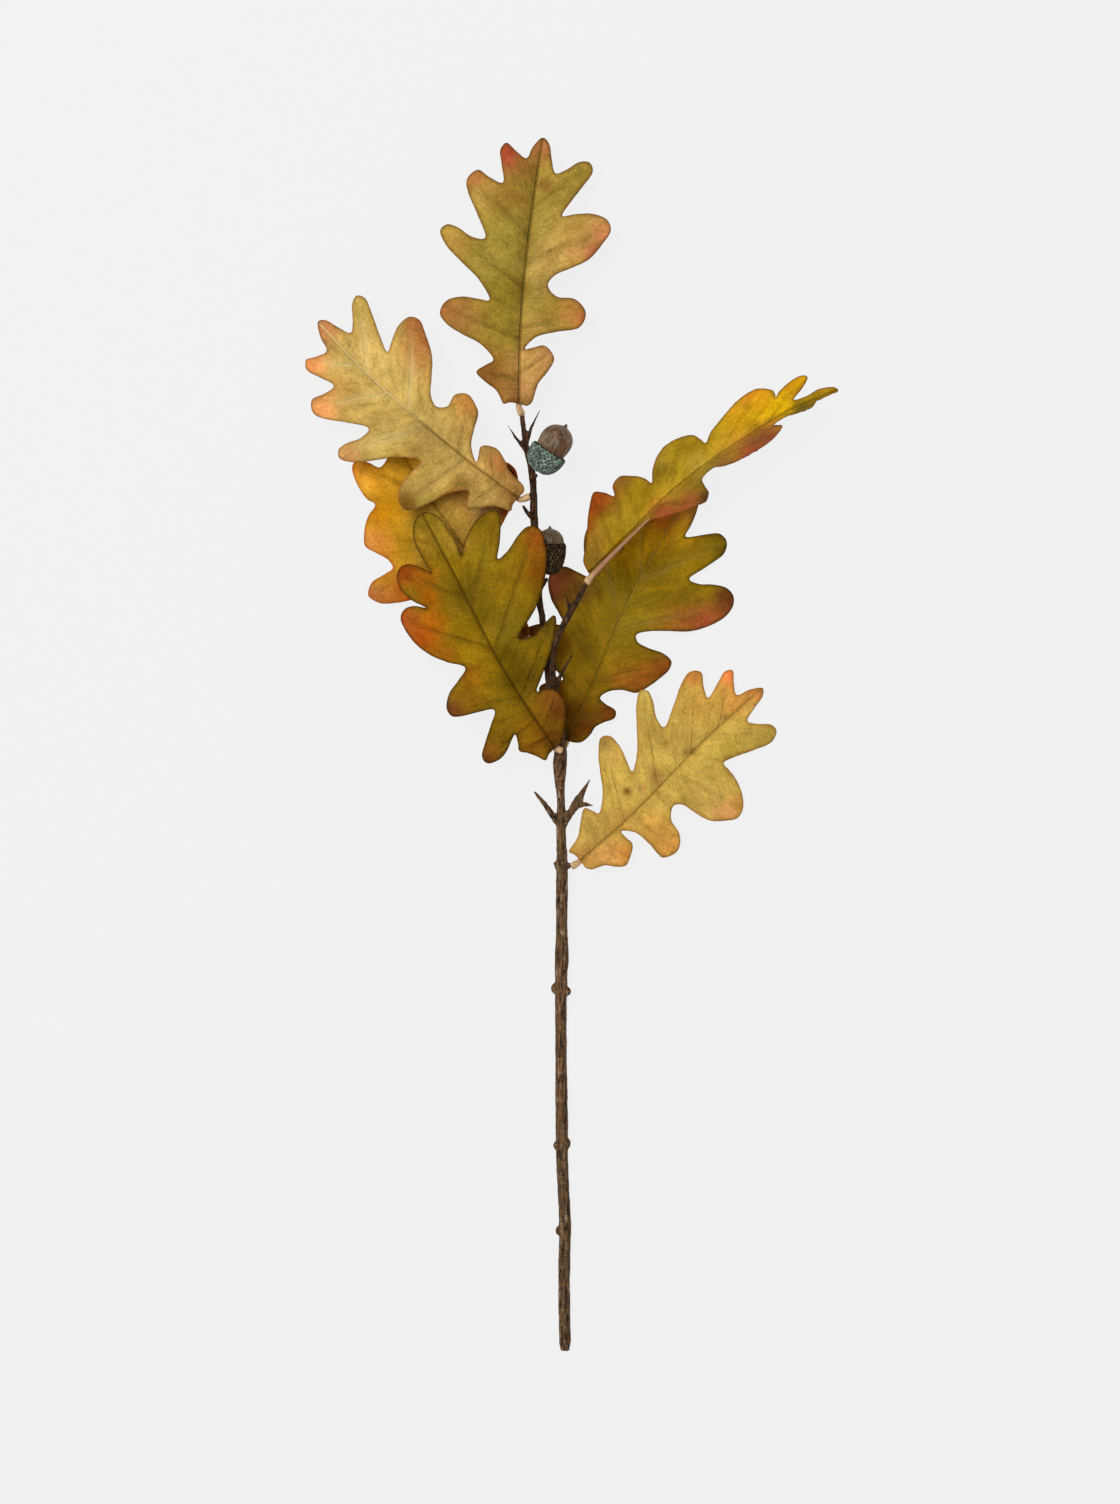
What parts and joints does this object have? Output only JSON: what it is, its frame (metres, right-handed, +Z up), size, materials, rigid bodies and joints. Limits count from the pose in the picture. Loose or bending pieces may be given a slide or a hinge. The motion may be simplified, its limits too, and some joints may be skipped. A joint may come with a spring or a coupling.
{
  "type": "artificial oak spray with autumn leaves and acorns",
  "caption": "Artificial oak spray lying flat: a knobbly cut twig with lobed autumn leaves on moulded stalks and scaled acorns in their cups.",
  "frame": {"origin": "bottom centre of the bounding box, on the surface the spray lies on", "axes": "+Y from the cut end of the twig to the top leaf, +X to the right seen from above, +Z up from the surface"},
  "size_m": [0.2642, 0.6054, 0.0562],
  "materials": {
    "oak_branch": "painted to look like bark, brown with mauve-grey streaks",
    "leaf_top": "printed cloth leaf, matt, with faint veins",
    "leaf_upper_left": "printed cloth leaf, matt, with faint veins",
    "leaf_rear_left": "printed cloth leaf, matt, with faint veins",
    "leaf_front_left": "printed cloth leaf, matt, with faint veins",
    "leaf_right": "printed cloth leaf, matt, with faint veins",
    "leaf_turned": "printed cloth leaf, matt, with faint veins",
    "leaf_lower_right": "printed cloth leaf, matt, with faint veins",
    "stalks": "moulded, cream to pinkish brown",
    "acorn_cup_upper": "scaled, frosted grey-green",
    "acorn_nut_upper": "brown, frosted",
    "acorn_cup_lower": "scaled, dark brown",
    "acorn_nut_lower": "grey-brown, frosted"
  },
  "bodies": {
    "root": {"oak_branch": "oak_branch", "leaf_top": "leaf_top", "leaf_stalk_top": "stalks", "leaf_upper_left": "leaf_upper_left", "leaf_stalk_upper_left": "stalks", "leaf_rear_left": "leaf_rear_left", "leaf_stalk_rear_left": "stalks", "leaf_front_left": "leaf_front_left", "leaf_stalk_front_left": "stalks", "leaf_right": "leaf_right", "leaf_stalk_right": "stalks", "leaf_turned": "leaf_turned", "leaf_stalk_turned": "stalks", "leaf_lower_right": "leaf_lower_right", "leaf_stalk_lower_right": "stalks", "acorn_cup_upper": "acorn_cup_upper", "acorn_nut_upper": "acorn_nut_upper", "acorn_cup_lower": "acorn_cup_lower", "acorn_nut_lower": "acorn_nut_lower"}
  },
  "joints": []
}
